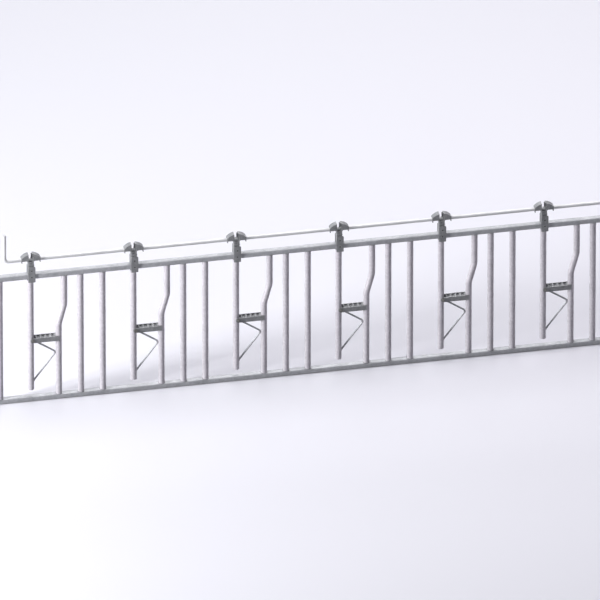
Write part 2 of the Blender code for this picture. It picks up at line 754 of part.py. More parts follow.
def add_control_rod():
    """Control rod and its two caps, which turn together about the rod's axis."""
    axis = axis_empty("control_rod_axis", (0.0, 0.0, ROD_Z))
    add("control_rod", control_rod_mesh(), steel("control_rod_zinc", "rod_zinc"), parent=axis)
    lever_cap = principled("lever_cap_zinc", CAP_COLOUR, 0.45, 0.6)
    add("lever_cap", rod_cap_mesh("Z"), lever_cap, (LEVER_X, 0, LEVER_LENGTH), axis)
    rod_end_cap = principled("rod_end_cap_zinc", CAP_COLOUR, 0.45, 0.6)
    add("rod_end_cap", rod_cap_mesh("X"), rod_end_cap, (ROD_END_X, 0, 0), axis)


def build_panel():
    """The whole headlock panel at rest: yokes closed, dogs raised, lever upright."""
    clear_scene()
    add_rails_and_posts()
    pivot = (PIVOT_OFFSET, 0.0, PIVOT_Z)
    add_at_each_place("bent_post", bent_post_mesh(), "tube_zinc")
    add_at_each_place("pivot_bracket", pivot_bracket_mesh(), "plate_zinc")
    add_at_each_place("pivot_bolt", shifted(pivot_bolt_mesh(), pivot), "bolt_zinc", pivot)
    add_at_each_place("latch_head", latch_head_mesh(), "plate_zinc")

    yokes = []
    for place, bar_x in enumerate(BAR_X):
        yokes.append(axis_empty(f"yoke_{place + 1}_axis", (bar_x + PIVOT_OFFSET, 0.0, PIVOT_Z)))
    add_at_each_place("swing_bar", swing_bar_mesh(), "tube_zinc", pivot, yokes)
    add_at_each_place("fork", fork_mesh(), "plate_zinc", pivot, yokes)
    add_at_each_place("latch_dog", latch_dog_mesh(), "plate_zinc", (DOG_LEFT, 0.0, ROD_Z))
    add_control_rod()


build_panel()
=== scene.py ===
"""Dressed cattle headlock panel: six places, hot-dip galvanised, yokes closed, lever upright.

Metres, +Z up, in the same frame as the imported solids. Tubes, plates and rods are rebuilt finely
from the same sizes, and the weld beads, washers and bolt ends that the solids leave out are added.
"""

import math

import bmesh
import bpy
from mathutils import Matrix, Vector


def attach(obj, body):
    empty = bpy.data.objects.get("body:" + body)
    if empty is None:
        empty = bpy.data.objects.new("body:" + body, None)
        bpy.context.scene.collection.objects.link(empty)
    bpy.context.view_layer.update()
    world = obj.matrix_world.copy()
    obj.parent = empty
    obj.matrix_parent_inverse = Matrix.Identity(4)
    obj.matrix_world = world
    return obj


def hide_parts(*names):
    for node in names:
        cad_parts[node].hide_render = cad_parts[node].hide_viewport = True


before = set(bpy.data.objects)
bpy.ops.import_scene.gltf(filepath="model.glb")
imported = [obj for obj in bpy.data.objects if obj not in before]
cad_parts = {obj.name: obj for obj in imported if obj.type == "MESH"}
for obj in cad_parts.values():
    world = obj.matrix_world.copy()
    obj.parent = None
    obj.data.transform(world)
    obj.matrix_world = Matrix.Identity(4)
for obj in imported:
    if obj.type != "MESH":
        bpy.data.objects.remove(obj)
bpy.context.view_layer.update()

# Panel, as the solids have it
PLACES = 6
PLACE_PITCH = 0.700
RAIL_OVERHANG = 0.050
RAIL_DEPTH = 0.045
RAIL_HEIGHT = 0.035
RAIL_WALL = 0.003
RAIL_CORNER = 0.006
CLEAR_HEIGHT = 0.909
TUBE_RADIUS = 0.0212
TUBE_WALL = 0.0032
NECK_GAP = 0.168
BENT_POST_REACH = 0.190
BENT_POST_JOG = 0.039
INNER_POST_REACH = 0.340
WELD_GAP = 0.0003

# Heights
TOP_RAIL_UNDERSIDE = RAIL_HEIGHT + CLEAR_HEIGHT
TOP_RAIL_TOP = TOP_RAIL_UNDERSIDE + RAIL_HEIGHT
POST_BEND_TOP_Z = TOP_RAIL_UNDERSIDE - 0.226
POST_BEND_FOOT_Z = TOP_RAIL_UNDERSIDE - 0.372
PIVOT_Z = TOP_RAIL_UNDERSIDE - 0.4745
BRIDGE_TOP = TOP_RAIL_UNDERSIDE - 0.004
BRIDGE_FOOT = BRIDGE_TOP - 0.006
BAR_TOP = BRIDGE_FOOT - WELD_GAP
BAR_FOOT = RAIL_HEIGHT + 0.051
FORK_TOP_Z = TOP_RAIL_TOP + 0.063
FORK_FOOT_Z = TOP_RAIL_UNDERSIDE - 0.022
STUD_Z = TOP_RAIL_UNDERSIDE + RAIL_HEIGHT / 2
STRIKE_PIN_Z = TOP_RAIL_TOP + 0.031
DOG_FOOT_Z = TOP_RAIL_TOP + 0.046
ROD_Z = TOP_RAIL_TOP + 0.108

# Places along the panel
FIRST_POST_X = -PLACES * PLACE_PITCH / 2
RAIL_HALF_LENGTH = PLACES * PLACE_PITCH / 2 + RAIL_OVERHANG
BAR_X = [FIRST_POST_X + 2 * TUBE_RADIUS + NECK_GAP + k * PLACE_PITCH for k in range(PLACES)]
INNER_POSTS = 2 * PLACES - 1
LEVER_X = FIRST_POST_X + 0.035
ROD_END_X = FIRST_POST_X + 4.093

# Depths from the panel's middle plane
ARM_INNER, ARM_OUTER = 0.0216, 0.0276
WEB_INNER, WEB_OUTER = 0.0173, 0.0213
FORK_INNER, FORK_OUTER = 0.0242, 0.0297
DOG_HALF_DEPTH = 0.0169

# Stations across one place, from its swing bar's axis
PIVOT_X = 0.0115
HEAD_X = 0.002
FORK_X = 0.005
DOG_LEFT, DOG_RIGHT = 0.0114, 0.0174
FINGER_LEFT, FINGER_RIGHT = 0.003, 0.010

# Bent post, pivot bracket and bolt
POST_BEND_RADIUS = 0.150
ARM_HALF = 0.0175
ARM_CORNER = 0.001
STRIP_START = 0.023
STRIP_SWAY = 0.0045
STRIP_WAVES = 4
STRIP_THICKNESS = 0.003
STRIP_BELOW_ARM = 0.001
BOLT_RADIUS = 0.006
BOLT_HOLE_RADIUS = 0.0064
HEXAGON_FLATS = 0.019

# V rod, with its heights below the pivot
V_ROD_RADIUS = 0.006
V_ROD_BEND_RADIUS = 0.020
V_ROD_START, V_ROD_CORNER, V_ROD_END = 0.011, 0.113, 0.316

# Fork
FORK_HALF = 0.0245
FORK_SHOULDER = 0.010
FORK_FOOT_CORNER = 0.005
PIN_RADIUS = 0.006
STUD_RADIUS = 0.010

# Control rod, fingers and dogs
ROD_RADIUS = 0.0125
ROD_WALL = 0.002
LEVER_HEIGHT = 0.200
LEVER_BEND_RADIUS = 0.026
FINGER_REACH = 0.0418
FINGER_HALF = 0.004
DOG_SLOT_HALF = 0.0129
DOG_TRAVEL = 0.030
DOG_TOP_WALL = 0.006
CROSSBAR_RADIUS = 0.003

# Latch head
HEAD_RADIUS = 0.086
HEAD_ARC_Z = ROD_Z - 0.039
HEAD_HALF = 0.065
RIM_THICKNESS = 0.006
WING_FOOT_Z = ROD_Z - 0.0035
EAR_FOOT_Z = ROD_Z - 0.016
STEM_HALF = 0.0192
STEM_FILLET = 0.010
STEM_ARC_Z = TOP_RAIL_TOP + 0.062 + STEM_HALF
SLOT_HALF = 0.0168
SLOT_CORNER = 0.006
SLOT_FOOT_Z = ROD_Z - 0.0085
UNDER_ROD_Z = ROD_Z - 0.0135
SPACER_RADIUS = 0.0085
SPACER_BORE_RADIUS = 0.0050
SPACER_Z = UNDER_ROD_Z - SPACER_RADIUS
EAR_BORE_RADIUS = 0.0130

# Meshes: faces that meet at a flatter angle than this are shaded as one
SHARP_EDGE = math.radians(32)

# View of the photograph: azimuth, elevation, the point in its middle and its width there
PHOTO_VIEW = (-11.3, 30.0)
PHOTO_MIDDLE = (-0.0529, 0.0, 0.5651)
PHOTO_WIDTH = 4.02

# Point on the panel that every lamp is aimed at
LAMP_TARGET = (0.0, 0.0, 0.5)


# Colour and nodes

def linear(hex_colour):
    """Linear colour of an sRGB hex value."""
    values = []
    for start in (1, 3, 5):
        share = int(hex_colour[start:start + 2], 16) / 255
        values.append(share / 12.92 if share <= 0.04045 else ((share + 0.055) / 1.055) ** 2.4)
    return (*values, 1.0)


def node(tree, kind, settings=(), **links):
    """Adds a node: its settings, its plain input values and its incoming links, by name."""
    added = tree.nodes.new(kind)
    for name, value in dict(settings).items():
        setattr(added, name, value)
    for name, value in links.items():
        socket = added.inputs[int(name[1:]) if name[1:].isdigit() else name.replace("_", " ")]
        if isinstance(value, bpy.types.NodeSocket):
            tree.links.new(value, socket)
        else:
            socket.default_value = value
    return added


def ramp(tree, value, stops):
    """Colour ramp through (position, hex colour) stops."""
    added = node(tree, "ShaderNodeValToRGB", Fac=value)
    elements = added.color_ramp.elements
    while len(elements) < len(stops):
        elements.new(0.5)
    for element, (position, colour) in zip(elements, stops):
        element.position = position
        element.color = linear(colour)
    return added.outputs["Color"]


def galvanised(name, tones, crystal_mm, roughness, streak, metallic):
    """Hot-dip galvanised steel. Zinc sets in flat crystals, the spangle, each a slightly
    different grey and gloss; runs of zinc leave faint upright streaks; a chalky bloom dulls
    patches a hand wide. tones are its dark, middle and light greys."""
    material = bpy.data.materials.new(name)
    material.use_nodes = True
    tree = material.node_tree
    shader = tree.nodes["Principled BSDF"]
    place = node(tree, "ShaderNodeTexCoord").outputs["Object"]
    crystals = node(tree, "ShaderNodeTexVoronoi", {"feature": "F1"},
                    Vector=place, Scale=1000 / crystal_mm, Randomness=1.0)
    grain = node(tree, "ShaderNodeSeparateColor", Color=crystals.outputs["Color"]).outputs["Red"]
    bloom = node(tree, "ShaderNodeTexNoise", Vector=place, Scale=1000 / 90, Detail=3.0,
                 Roughness=0.55).outputs["Fac"]
    upright = node(tree, "ShaderNodeMapping", Vector=place, Scale=(1.0, 1.0, 0.07))
    runs = node(tree, "ShaderNodeTexNoise", Vector=upright.outputs["Vector"], Scale=1000 / 14,
                Detail=4.0, Roughness=0.6).outputs["Fac"]
    grain_share = node(tree, "ShaderNodeMapRange", Value=grain, To_Min=0.0, To_Max=0.42)
    bloom_share = node(tree, "ShaderNodeMapRange", Value=bloom, From_Min=0.3, From_Max=0.7,
                       To_Min=0.0, To_Max=0.58 - streak)
    run_share = node(tree, "ShaderNodeMapRange", Value=runs, From_Min=0.3, From_Max=0.7,
                     To_Min=0.0, To_Max=streak)
    mixed = node(tree, "ShaderNodeMath", {"operation": "ADD"},
                 _0=grain_share.outputs["Result"], _1=bloom_share.outputs["Result"])
    tone = node(tree, "ShaderNodeMath", {"operation": "ADD"},
                _0=mixed.outputs["Value"], _1=run_share.outputs["Result"]).outputs["Value"]
    dark, middle, light = tones
    tree.links.new(ramp(tree, tone, ((0.12, dark), (0.5, middle), (0.88, light))),
                   shader.inputs["Base Color"])
    gloss = node(tree, "ShaderNodeMapRange", Value=tone, To_Min=roughness + 0.09,
                 To_Max=roughness - 0.07)
    tree.links.new(gloss.outputs["Result"], shader.inputs["Roughness"])
    edges = node(tree, "ShaderNodeTexVoronoi", {"feature": "DISTANCE_TO_EDGE"},
                 Vector=place, Scale=1000 / crystal_mm, Randomness=1.0)
    ridge = node(tree, "ShaderNodeMapRange", Value=edges.outputs["Distance"], From_Min=0.0,
                 From_Max=0.08, To_Min=0.0, To_Max=1.0)
    lumps = node(tree, "ShaderNodeTexNoise", Vector=place, Scale=1000 / 5, Detail=2.0)
    relief = node(tree, "ShaderNodeMath", {"operation": "MULTIPLY_ADD"},
                  _0=lumps.outputs["Fac"], _1=0.8, _2=ridge.outputs["Result"])
    bump = node(tree, "ShaderNodeBump", Strength=0.25, Distance=0.00012,
                Height=relief.outputs["Value"])
    tree.links.new(bump.outputs["Normal"], shader.inputs["Normal"])
    shader.inputs["Metallic"].default_value = metallic
    return material


def worn_steel(name, tones, roughness):
    """Zinc where the locking gear slides: fine scuffs along it, on the tones given."""
    material = bpy.data.materials.new(name)
    material.use_nodes = True
    tree = material.node_tree
    shader = tree.nodes["Principled BSDF"]
    place = node(tree, "ShaderNodeTexCoord").outputs["Object"]
    along = node(tree, "ShaderNodeMapping", Vector=place, Scale=(0.08, 1.0, 1.0))
    scuffs = node(tree, "ShaderNodeTexNoise", Vector=along.outputs["Vector"], Scale=1000 / 2.5,
                  Detail=5.0, Roughness=0.65).outputs["Fac"]
    patches = node(tree, "ShaderNodeTexNoise", Vector=place, Scale=1000 / 60,
                   Detail=2.0).outputs["Fac"]
    tone = node(tree, "ShaderNodeMath", {"operation": "MULTIPLY_ADD"},
                _0=scuffs, _1=0.6, _2=node(tree, "ShaderNodeMath", {"operation": "MULTIPLY"},
                                           _0=patches, _1=0.4).outputs["Value"])
    dark, middle, light = tones
    tree.links.new(ramp(tree, tone.outputs["Value"], ((0.3, dark), (0.5, middle), (0.72, light))),
                   shader.inputs["Base Color"])
    gloss = node(tree, "ShaderNodeMapRange", Value=scuffs, From_Min=0.3, From_Max=0.7,
                 To_Min=roughness + 0.08, To_Max=roughness - 0.06)
    tree.links.new(gloss.outputs["Result"], shader.inputs["Roughness"])
    bump = node(tree, "ShaderNodeBump", Strength=0.2, Distance=0.00008, Height=scuffs)
    tree.links.new(bump.outputs["Normal"], shader.inputs["Normal"])
    shader.inputs["Metallic"].default_value = 0.3
    return material


# Rails, thick drawn tube: a dull mid grey with the widest crystals
RAIL_ZINC = galvanised(
    "rail_hot_dip_zinc", ("#A2A3A8", "#AEAFB4", "#BABBC0"), 16.0, 0.44, 0.18, 0.20)
# Posts and swing bars, thin tube: the palest and glossiest zinc, streaked along the tube. The
# paleness is a painted highlight: lighter than the rails, so the tubes' lit sides render near white
TUBE_ZINC_PAINTED_HIGHLIGHT = galvanised(
    "tube_zinc_painted_highlight", ("#BAB6BD", "#C6C2C9", "#D2CED5"), 14.0, 0.36, 0.30, 0.22)
# Plate zinc, duller and darker than the rails: the darkness is painted shade, so the plates' front
# faces render as dim as faces in shade
PLATE_ZINC_PAINTED_SHADE = galvanised(
    "plate_zinc_painted_shade", ("#7C7D80", "#898A8D", "#96979A"), 12.0, 0.44, 0.16, 0.20)
# V rods, bent round bar: small crystals on a soft grey
ROD_ZINC = galvanised(
    "round_bar_hot_dip_zinc", ("#94959A", "#A6A7AC", "#B8B9BE"), 10.0, 0.42, 0.22, 0.20)
# Bolts are spun clean after dipping: fine-grained, slightly warm and darker than plate
BOLT_ZINC = galvanised(
    "spun_zinc_bolts", ("#5E5D5B", "#73726F", "#8C8B87"), 3.0, 0.42, 0.10, 0.6)
# Pin ends have no zinc left: bare steel, darkened by grease and rubbed-in dirt
PIN_STEEL = galvanised(
    "greased_pin_steel", ("#1E1D1D", "#282726", "#343332"), 3.0, 0.50, 0.10, 0.1)
# Weld metal holds silicon, so the zinc over it sets matt and lumpy
WELD_ZINC = galvanised(
    "zinc_over_weld_bead", ("#7A7B7F", "#8E8F93", "#A2A3A7"), 6.0, 0.50, 0.10, 0.4)
# The control rod turns in its heads and is handled daily, so it is scuffed; its tones, the brightest
# metal on the panel, are partly that wear and partly a painted highlight along its top
CONTROL_ROD_SCUFFS_AND_HIGHLIGHT = worn_steel(
    "control_rod_scuffs_and_painted_highlight", ("#C8C8CA", "#D8D8DA", "#E6E6E8"), 0.36)
# Pressed caps: thin, smooth zinc with hardly any crystals
CAP_ZINC = galvanised(
    "pressed_cap_zinc", ("#B0B0B4", "#C2C2C6", "#D2D2D6"), 5.0, 0.44, 0.10, 0.4)


# Outlines, each a list of (u, v) points running counter-clockwise

def circle(radius, sides, centre=(0.0, 0.0)):
    """Corners of a regular polygon inside a circle."""
    turns = [2 * math.pi * side / sides for side in range(sides)]
    return [(centre[0] + radius * math.cos(t), centre[1] + radius * math.sin(t)) for t in turns]


def arc(centre, radius, start, end, steps):
    """Points on an arc, with both angles in degrees."""
    turns = [math.radians(start + (end - start) * step / steps) for step in range(steps + 1)]
    return [(centre[0] + radius * math.cos(t), centre[1] + radius * math.sin(t)) for t in turns]


def rounded_box(width, height, corner, steps=6):
    """Rectangle about the origin with round corners."""
    points = []
    signs = ((1, 1, 0), (-1, 1, 90), (-1, -1, 180), (1, -1, 270))
    for sign_u, sign_v, turn in signs:
        centre = (sign_u * (width / 2 - corner), sign_v * (height / 2 - corner))
        points += arc(centre, corner, turn, turn + 90, steps)
    return points


def inset(outline, depth):
    """Outline moved inwards all round by one depth, or outwards by a negative one."""
    moved = []
    for before, here, after in zip(outline[-1:] + outline[:-1], outline, outline[1:] + outline[:1]):
        arriving = Vector((here[0] - before[0], here[1] - before[1])).normalized()
        leaving = Vector((after[0] - here[0], after[1] - here[1])).normalized()
        first = Vector((-arriving.y, arriving.x))
        second = Vector((-leaving.y, leaving.x))
        shift = (first + second) / max(0.35, 1 + first.dot(second)) * depth
        moved.append((here[0] + shift.x, here[1] + shift.y))
    return moved


# Meshes

def on_axis(axis, along, point):
    """A point of an outline, set at one distance along X, Y or Z."""
    u, v = point
    return {"X": (along, u, v), "Y": (u, along, v), "Z": (u, v, along)}[axis]


def closed_mesh(name, shape):
    """Mesh from a bmesh, with its faces outwards and its round faces smooth."""
    bmesh.ops.recalc_face_normals(shape, faces=shape.faces)
    mesh = bpy.data.meshes.new(name)
    shape.to_mesh(mesh)
    shape.free()
    mesh.shade_smooth()
    mesh.set_sharp_from_angle(angle=SHARP_EDGE)
    return mesh


def loft(name, rings, closed=False):
    """Solid through a run of rings of 3D points, capped at its ends or closed on itself."""
    shape = bmesh.new()
    loops = [[shape.verts.new(point) for point in ring] for ring in rings]
    pairs = list(zip(loops, loops[1:]))
    if closed:
        pairs.append((loops[-1], loops[0]))
    else:
        shape.faces.new(list(reversed(loops[0])))
        shape.faces.new(loops[-1])
    for here, there in pairs:
        for side in range(len(here)):
            after = (side + 1) % len(here)
            shape.faces.new((here[side], here[after], there[after], there[side]))
    return closed_mesh(name, shape)


def turned(name, axis, sections):
    """Solid through (distance along the axis, outline) pairs."""
    return loft(name, [[on_axis(axis, along, p) for p in outline] for along, outline in sections])


def hollow(name, axis, low, high, outer, inner):
    """Tube with open ends and slightly broken edges."""
    edge = 0.0006
    fine_outer, fine_inner = inset(outer, edge), inset(inner, -edge)
    sections = ((low + edge, outer), (high - edge, outer), (high, fine_outer), (high, fine_inner),
                (high - edge, inner), (low + edge, inner), (low, fine_inner), (low, fine_outer))
    rings = [[on_axis(axis, along, p) for p in outline] for along, outline in sections]
    return loft(name, rings, closed=True)


def cut_plate(name, axis, low, high, outline, holes=(), edge=0.0005):
    """Plate of one outline with through holes, and with every cut edge slightly broken."""
    shape = bmesh.new()
    for along in (low, high):
        rim_edges = []
        for loop in (inset(outline, edge), *[inset(hole, -edge) for hole in holes]):
            corners = [shape.verts.new(on_axis(axis, along, point)) for point in loop]
            rim_edges += [shape.edges.new(pair) for pair in zip(corners, corners[1:] + corners[:1])]
        bmesh.ops.triangle_fill(shape, edges=rim_edges, use_beauty=True)
    for loop, side in ((outline, edge), *[(hole, -edge) for hole in holes]):
        sections = ((low, inset(loop, side)), (low + edge, loop), (high - edge, loop),
                    (high, inset(loop, side)))
        rings = [[shape.verts.new(on_axis(axis, along, point)) for point in points]
                 for along, points in sections]
        for here, there in zip(rings, rings[1:]):
            for step in range(len(here)):
                after = (step + 1) % len(here)
                shape.faces.new((here[step], here[after], there[after], there[step]))
    bmesh.ops.remove_doubles(shape, verts=shape.verts, dist=0.000001)
    return closed_mesh(name, shape)


def cut(mesh, other):
    """Solid with another solid cut out of it."""
    body, tool = bpy.data.objects.new("work", mesh), bpy.data.objects.new("tool", other)
    for item in (body, tool):
        bpy.context.scene.collection.objects.link(item)
    modifier = body.modifiers.new("cut", "BOOLEAN")
    modifier.solver = "EXACT"
    modifier.operation = "DIFFERENCE"
    modifier.object = tool
    evaluated = body.evaluated_get(bpy.context.evaluated_depsgraph_get())
    result = bpy.data.meshes.new_from_object(evaluated)
    for item in (body, tool):
        bpy.data.objects.remove(item, do_unlink=True)
    result.materials.clear()
    result.shade_smooth()
    result.set_sharp_from_angle(angle=SHARP_EDGE)
    return result


def together(name, meshes):
    """One mesh that holds several shapes."""
    shape = bmesh.new()
    for mesh in meshes:
        shape.from_mesh(mesh)
    result = bpy.data.meshes.new(name)
    shape.to_mesh(result)
    shape.free()
    result.set_sharp_from_angle(angle=SHARP_EDGE)
    return result


def shifted(mesh, offset):
    """Copy of a mesh, moved."""
    copy = mesh.copy()
    copy.transform(Matrix.Translation(offset))
    return copy


def mirrored(mesh):
    """Copy of a mesh on the other side of the panel's middle plane."""
    copy = mesh.copy()
    copy.transform(Matrix.Scale(-1, 4, (0, 1, 0)))
    copy.flip_normals()
    return copy


def bent_path(corners, radius, steps):
    """Stations (point, direction) along a polyline whose inner corners are rounded."""
    stations = [(corners[0], (corners[1] - corners[0]).normalized())]
    for before, corner, after in zip(corners, corners[1:], corners[2:]):
        arriving = (corner - before).normalized()
        leaving = (after - corner).normalized()
        turn = arriving.angle(leaving)
        axis = arriving.cross(leaving).normalized()
        start = corner - arriving * radius * math.tan(turn / 2)
        centre = start + axis.cross(arriving) * radius
        for step in range(steps + 1):
            swing = Matrix.Rotation(turn * step / steps, 3, axis)
            stations.append((centre + swing @ (start - centre), swing @ arriving))
    stations.append((corners[-1], (corners[-1] - corners[-2]).normalized()))
    return stations


def swept_ring(station, outline):
    """Outline set square to a path's direction."""
    point, direction = station
    side = direction.cross(Vector((0, 1, 0)))
    return [point + side * u + Vector((0, v, 0)) for u, v in outline]


def bent_tube(name, stations, radius, wall, sides):
    """Round tube along a path, open at both ends."""
    rings = [swept_ring(station, circle(radius, sides)) for station in stations]
    rings += [swept_ring(station, circle(radius - wall, sides)) for station in reversed(stations)]
    return loft(name, rings, closed=True)


# Pieces

def show(name, mesh, material, body, nodes=()):
    """Finished piece that rides on a body and stands for the nodes it covers."""
    piece = bpy.data.objects.new(name, mesh)
    bpy.context.scene.collection.objects.link(piece)
    mesh.materials.clear()
    mesh.materials.append(material)
    if nodes:
        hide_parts(*nodes)
    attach(piece, body)
    return piece


def modifier_result(mesh, tree, values):
    """Plain mesh that a geometry tree makes from a mesh, with its inputs set by name."""
    work = bpy.data.objects.new("work", mesh)
    bpy.context.scene.collection.objects.link(work)
    modifier = work.modifiers.new("tree", "NODES")
    modifier.node_group = tree
    for item in tree.interface.items_tree:
        if item.item_type == "SOCKET" and item.in_out == "INPUT" and item.name in values:
            modifier[item.identifier] = values[item.name]
    evaluated = work.evaluated_get(bpy.context.evaluated_depsgraph_get())
    result = bpy.data.meshes.new_from_object(evaluated)
    work.modifiers.remove(modifier)
    bpy.data.objects.remove(work, do_unlink=True)
    return result


def new_tree(name, inputs):
    """Geometry tree with a mesh in, named inputs and a mesh out."""
    tree = bpy.data.node_groups.new(name, "GeometryNodeTree")
    tree.interface.new_socket("Geometry", in_out="INPUT", socket_type="NodeSocketGeometry")
    for label, kind in inputs:
        tree.interface.new_socket(label, in_out="INPUT", socket_type="NodeSocket" + kind)
    tree.interface.new_socket("Geometry", in_out="OUTPUT", socket_type="NodeSocketGeometry")
    return tree, tree.nodes.new("NodeGroupInput").outputs


def station_tree():
    """Stands a copy of one piece at every station of the panel."""
    tree, given = new_tree("stand_at_stations", (("Piece", "Object"), ("Finish", "Material")))
    piece = node(tree, "GeometryNodeObjectInfo", Object=given["Piece"])
    stood = node(tree, "GeometryNodeInstanceOnPoints", Points=given["Geometry"],
                 Instance=piece.outputs["Geometry"])
    real = node(tree, "GeometryNodeRealizeInstances", Geometry=stood.outputs["Instances"])
    finished = node(tree, "GeometryNodeSetMaterial", Geometry=real.outputs["Geometry"],
                    Material=given["Finish"])
    node(tree, "NodeGroupOutput", Geometry=finished.outputs["Geometry"])
    return tree


def weld_tree():
    """Lays a weld bead along paths: overlapping flat ripples, each a little different."""
    tree, given = new_tree("weld_bead", (
        ("Ripple Pitch", "Float"), ("Bead Width", "Float"), ("Seed", "Int"), ("Finish", "Material")))
    path = node(tree, "GeometryNodeMeshToCurve", Mesh=given["Geometry"])
    even = node(tree, "GeometryNodeResampleCurve", Curve=path.outputs["Curve"])
    if "Mode" in even.inputs:
        even.inputs["Mode"].default_value = "Length"
    else:
        even.mode = "LENGTH"
    tree.links.new(given["Ripple Pitch"], even.inputs["Length"])
    ripple = node(tree, "GeometryNodeMeshUVSphere", Segments=8, Rings=5, Radius=0.5)
    tangent = node(tree, "GeometryNodeInputTangent")
    lie = node(tree, "FunctionNodeAlignRotationToVector", {"axis": "X"},
               Vector=tangent.outputs["Tangent"])
    wobble = node(tree, "FunctionNodeRandomValue", {"data_type": "FLOAT"}, Seed=given["Seed"])
    wobble.inputs[2].default_value = 0.86
    wobble.inputs[3].default_value = 1.1
    width = node(tree, "ShaderNodeMath", {"operation": "MULTIPLY"},
                 _0=given["Bead Width"], _1=wobble.outputs[1])
    length = node(tree, "ShaderNodeMath", {"operation": "MULTIPLY"},
                  _0=given["Ripple Pitch"], _1=1.7)
    size = node(tree, "ShaderNodeCombineXYZ", X=length.outputs["Value"],
                Y=width.outputs["Value"], Z=width.outputs["Value"])
    laid = node(tree, "GeometryNodeInstanceOnPoints", Points=even.outputs["Curve"],
                Instance=ripple.outputs["Mesh"], Rotation=lie.outputs["Rotation"],
                Scale=size.outputs["Vector"])
    real = node(tree, "GeometryNodeRealizeInstances", Geometry=laid.outputs["Instances"])
    smooth = node(tree, "GeometryNodeSetShadeSmooth", Geometry=real.outputs["Geometry"])
    finished = node(tree, "GeometryNodeSetMaterial", Geometry=smooth.outputs["Geometry"],
                    Material=given["Finish"])
    node(tree, "NodeGroupOutput", Geometry=finished.outputs["Geometry"])
    return tree


STATION_TREE = station_tree()
WELD_TREE = weld_tree()


def stations_mesh(places):
    """Loose points, one for each station along the panel."""
    mesh = bpy.data.meshes.new("stations")
    mesh.from_pydata([(x, 0.0, 0.0) for x in places], [], [])
    return mesh


def stand(name, mesh, places, material, nodes):
    """One piece of the fixed panel, repeated at its stations."""
    model = bpy.data.objects.new("model", mesh)
    bpy.context.scene.collection.objects.link(model)
    result = modifier_result(stations_mesh(places), STATION_TREE,
                             {"Piece": model, "Finish": material})
    bpy.data.objects.remove(model, do_unlink=True)
    result.set_sharp_from_angle(angle=SHARP_EDGE)
    return show(name, result, material, "panel", nodes)


def weld(name, paths, width, body):
    """Weld beads along paths of points; a path that comes back to its start is closed."""
    points, edges = [], []
    for path in paths:
        first = len(points)
        loop = (Vector(path[0]) - Vector(path[-1])).length < 0.0001
        stops = path[:-1] if loop else path
        points += [tuple(point) for point in stops]
        edges += [(first + step, first + step + 1) for step in range(len(stops) - 1)]
        if loop:
            edges.append((first + len(stops) - 1, first))
    mesh = bpy.data.meshes.new(name)
    mesh.from_pydata(points, edges, [])
    result = modifier_result(mesh, WELD_TREE, {
        "Ripple Pitch": width * 1.05, "Bead Width": width, "Seed": 7, "Finish": WELD_ZINC})
    return show(name, result, WELD_ZINC, body)


def numbered(stem, count=PLACES):
    """Names of the nodes that share a stem, from 1."""
    return [f"{stem}_{n + 1}" for n in range(count)]


def at_places(paths, places=tuple(BAR_X)):
    """Weld paths of one place, repeated along the panel."""
    return [[(x + px, py, pz) for px, py, pz in path] for x in places for path in paths]


def ring_path(radius, height, centre_x, steps=40):
    """Points round an upright tube at one height, back to the first."""
    turns = [2 * math.pi * step / steps for step in range(steps + 1)]
    return [(centre_x + radius * math.cos(t), radius * math.sin(t), height) for t in turns]


# Rails and posts

def rail_fall(depth):
    """How far the rail's round corner has dropped below its face, at a distance from the middle."""
    over = abs(depth) - (RAIL_DEPTH / 2 - RAIL_CORNER)
    return 0.0 if over <= 0 else RAIL_CORNER - math.sqrt(max(0.0, RAIL_CORNER ** 2 - over ** 2))


def coped_ring(radius, height, sign):
    """Ring of a post's end, cut to follow the rail's round corners."""
    ring = []
    for u, v in circle(radius, 48):
        ring.append((u, v, height + sign * rail_fall(v) * 0.85))
    return ring


def straight_post():
    """Straight post with both ends coped to the rails."""
    foot, top = RAIL_HEIGHT + WELD_GAP, TOP_RAIL_UNDERSIDE - WELD_GAP
    inner = TUBE_RADIUS - TUBE_WALL
    rings = [coped_ring(TUBE_RADIUS, foot, -1), coped_ring(TUBE_RADIUS, top, 1)]
    rings += [coped_ring(inner, top, 1), coped_ring(inner, foot, -1)]
    return loft("straight_post", rings, closed=True)


def bent_post():
    """Post that steps sideways in two round bends."""
    upper_x = BENT_POST_REACH + BENT_POST_JOG
    corners = [
        Vector((upper_x, 0, TOP_RAIL_UNDERSIDE - WELD_GAP)),
        Vector((upper_x, 0, POST_BEND_TOP_Z)),
        Vector((BENT_POST_REACH, 0, POST_BEND_FOOT_Z)),
        Vector((BENT_POST_REACH, 0, RAIL_HEIGHT + WELD_GAP)),
    ]
    stations = bent_path(corners, POST_BEND_RADIUS, 12)
    return bent_tube("bent_post", stations, TUBE_RADIUS, TUBE_WALL, 48)


def post_weld_paths(places):
    """Fillet weld round both ends of every post in a list."""
    paths = []
    for x in places:
        for height, sign in ((RAIL_HEIGHT, -1), (TOP_RAIL_UNDERSIDE, 1)):
            ring = ring_path(TUBE_RADIUS + 0.0006, 0.0, x)
            paths.append([(px, py, height - sign * 0.0008 + sign * rail_fall(py) * 0.5)
                          for px, py, _ in ring])
    return paths


